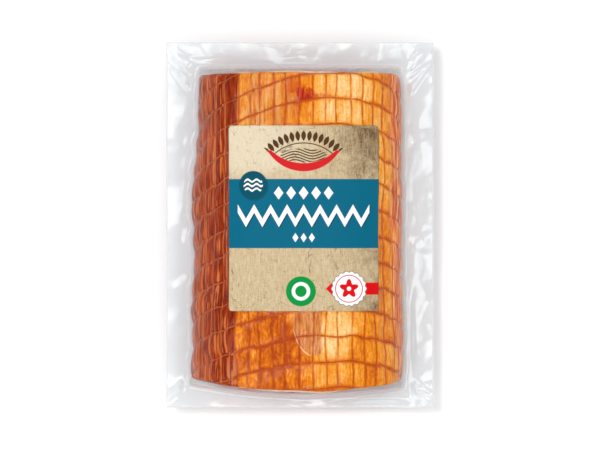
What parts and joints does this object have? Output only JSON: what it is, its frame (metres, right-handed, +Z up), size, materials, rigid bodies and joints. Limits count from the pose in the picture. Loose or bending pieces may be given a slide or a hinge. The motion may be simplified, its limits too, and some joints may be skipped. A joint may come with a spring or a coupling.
{
  "type": "vacuum-packed smoked pork loin joint",
  "caption": "Net-smoked cured pork loin joint sealed in a clear vacuum pouch with a flat welded border and a plain label on its front.",
  "frame": {"origin": "middle of the pack's footprint, on the surface that it lies on", "axes": "+Y along the joint from its foot to its head, +X across it to the right of the label, +Z up out of the label"},
  "size_m": [0.15, 0.205, 0.0632],
  "materials": {
    "smoked_meat": "satin",
    "clear_film": "gloss",
    "label_paper": "satin"
  },
  "bodies": {
    "root": {"smoked_loin": "smoked_meat", "pouch_front_web": "clear_film", "pouch_back_web": "clear_film", "front_label": "label_paper"}
  },
  "joints": []
}
